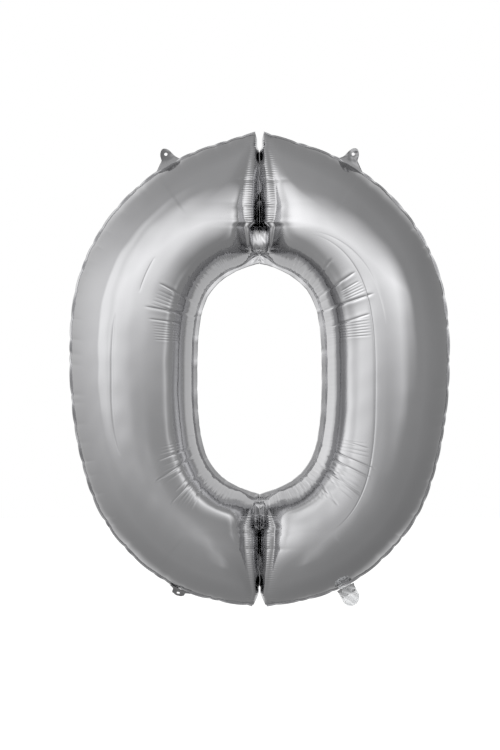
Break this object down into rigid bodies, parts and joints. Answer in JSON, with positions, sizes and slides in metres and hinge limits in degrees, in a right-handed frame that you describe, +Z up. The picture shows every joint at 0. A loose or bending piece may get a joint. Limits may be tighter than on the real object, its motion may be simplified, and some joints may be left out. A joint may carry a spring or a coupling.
{
  "type": "foil number balloon",
  "caption": "Inflated foil balloon shaped as the figure 0, with welded seams, pinched necks, hanging tabs and a self-sealing filling tail.",
  "frame": {"origin": "middle of the overall box, in the seam plane at the centre of the hole", "axes": "+Z up, +X to the right seen from the front, front face towards -Y"},
  "size_m": [0.69, 0.2, 0.86],
  "materials": {
    "foil_film": "mirror anthracite metallised film",
    "foil_seam": "mirror anthracite metallised film, flattened by the weld",
    "foil_tab": "mirror anthracite metallised film, lightly crumpled",
    "clear_valve_film": "clear glossy"
  },
  "bodies": {
    "left_half": {"front_film_left": "foil_film", "back_film_left": "foil_film", "outer_seam_left": "foil_seam", "inner_seam_left": "foil_seam", "top_neck": "foil_film", "bottom_neck": "foil_film"},
    "right_half": {"front_film_right": "foil_film", "back_film_right": "foil_film", "outer_seam_right": "foil_seam", "inner_seam_right": "foil_seam"},
    "left_hanger": {"hang_tab_left": "foil_tab"},
    "right_hanger": {"hang_tab_right": "foil_tab"},
    "tie": {"tie_tab": "foil_tab"},
    "filling_tail": {"tail_front_ply": "foil_tab", "tail_back_ply": "foil_tab", "valve_front_film": "clear_valve_film", "valve_back_film": "clear_valve_film"}
  },
  "joints": [
    {"name": "neck_flex", "type": "hinge", "parent": "left_half", "child": "right_half", "pos_m": [0, 0, 0], "axis": [0, 0, 1], "range_deg": [-8, 8], "stiffness_Nm_per_rad": 0.3, "deforming": ["top_neck", "bottom_neck"]},
    {"name": "hang_tab_left_fold", "type": "hinge", "parent": "left_half", "child": "left_hanger", "pos_m": [-0.169, 0, 0.37035], "axis": [0.8579, 0, 0.5138], "range_deg": [-80, 80], "stiffness_Nm_per_rad": 0.0002},
    {"name": "hang_tab_right_fold", "type": "hinge", "parent": "right_half", "child": "right_hanger", "pos_m": [0.169, 0, 0.37035], "axis": [0.8579, 0, -0.5138], "range_deg": [-80, 80], "stiffness_Nm_per_rad": 0.0002},
    {"name": "tie_tab_fold", "type": "hinge", "parent": "left_half", "child": "tie", "pos_m": [-0.14442, 0, -0.39954], "axis": [-0.9108, 0, 0.4129], "range_deg": [-18, 140], "stiffness_Nm_per_rad": 0.0002},
    {"name": "tail_fold", "type": "hinge", "parent": "right_half", "child": "filling_tail", "pos_m": [0.15556, 0, -0.39465], "axis": [-0.8924, 0, -0.4511], "range_deg": [-70, 70], "stiffness_Nm_per_rad": 0.0002, "deforming": ["valve_front_film", "valve_back_film"]}
  ]
}
